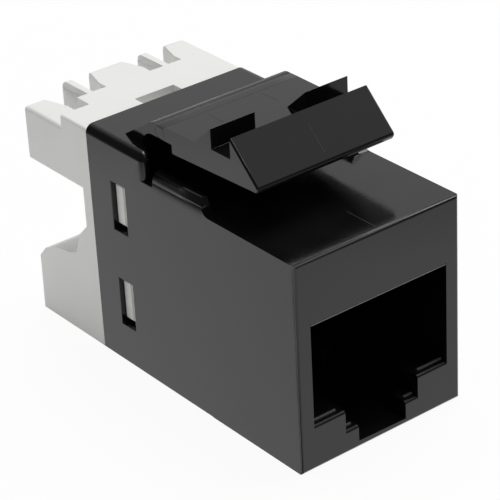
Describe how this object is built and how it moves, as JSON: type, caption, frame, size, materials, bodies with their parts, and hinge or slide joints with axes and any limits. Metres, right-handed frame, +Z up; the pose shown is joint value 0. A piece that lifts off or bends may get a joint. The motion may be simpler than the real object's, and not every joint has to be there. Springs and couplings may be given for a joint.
{
  "type": "keystone jack",
  "caption": "Modular eight-position keystone jack with a plug opening at the front, a springing panel latch on top and a slotted punch-down wire block at the rear.",
  "frame": {"origin": "centre of the footprint on the flat underside: midway across the width, midway between the front face and the rear of the wire block", "axes": "+X across the width, -Y out of the plug opening, +Y towards the wire side, +Z up towards the latch"},
  "size_m": [0.0144, 0.031, 0.0222],
  "materials": {
    "black_body": "fine matte moulded black",
    "white_block": "smooth slightly warm white",
    "carrier": "matte black",
    "board": "green laminate",
    "contact_metal": "gold-plated spring strip",
    "blade_metal": "tinned sheet"
  },
  "bodies": {
    "jack": {"housing": "black_body", "wire_block": "white_block", "contact_carrier": "carrier", "circuit_board": "board", "jack_contact_1": "contact_metal", "jack_contact_2": "contact_metal", "jack_contact_3": "contact_metal", "jack_contact_4": "contact_metal", "jack_contact_5": "contact_metal", "jack_contact_6": "contact_metal", "jack_contact_7": "contact_metal", "jack_contact_8": "contact_metal", "idc_blade_1": "blade_metal", "idc_blade_2": "blade_metal", "idc_blade_3": "blade_metal", "idc_blade_4": "blade_metal", "idc_blade_5": "blade_metal", "idc_blade_6": "blade_metal", "idc_blade_7": "blade_metal", "idc_blade_8": "blade_metal"},
    "latch": {"latch_lever": "black_body"}
  },
  "joints": [
    {"name": "latch_flex", "type": "hinge", "parent": "jack", "child": "latch", "pos_m": [0, 0.00005, 0.01988], "axis": [1, 0, 0], "range_deg": [0, 15], "stiffness_Nm_per_rad": 0.6}
  ]
}
